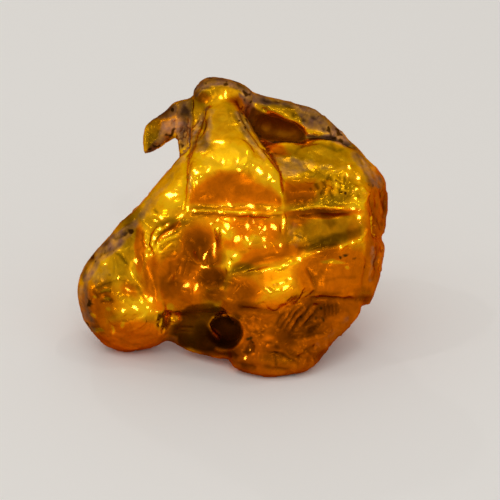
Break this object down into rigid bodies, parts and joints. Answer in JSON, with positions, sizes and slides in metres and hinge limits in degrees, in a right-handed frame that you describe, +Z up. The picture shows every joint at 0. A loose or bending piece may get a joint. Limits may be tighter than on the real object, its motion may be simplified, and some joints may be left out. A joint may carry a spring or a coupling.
{
  "type": "gold nugget",
  "caption": "Irregular water-worn nugget of native gold: fused lumps, ledges and hollows, a round lobe, a hooked ear, and worn flats that it rests on.",
  "frame": {"origin": "middle of the bounding box's footprint, level with the worn flats that the nugget rests on", "axes": "+X from the round lobe to the blunt tip, +Y away from the broad worn face, +Z up"},
  "size_m": [0.032, 0.0224, 0.0258],
  "materials": {
    "native_gold": "polished, water-worn native gold"
  },
  "bodies": {
    "root": {"nugget": "native_gold"}
  },
  "joints": []
}
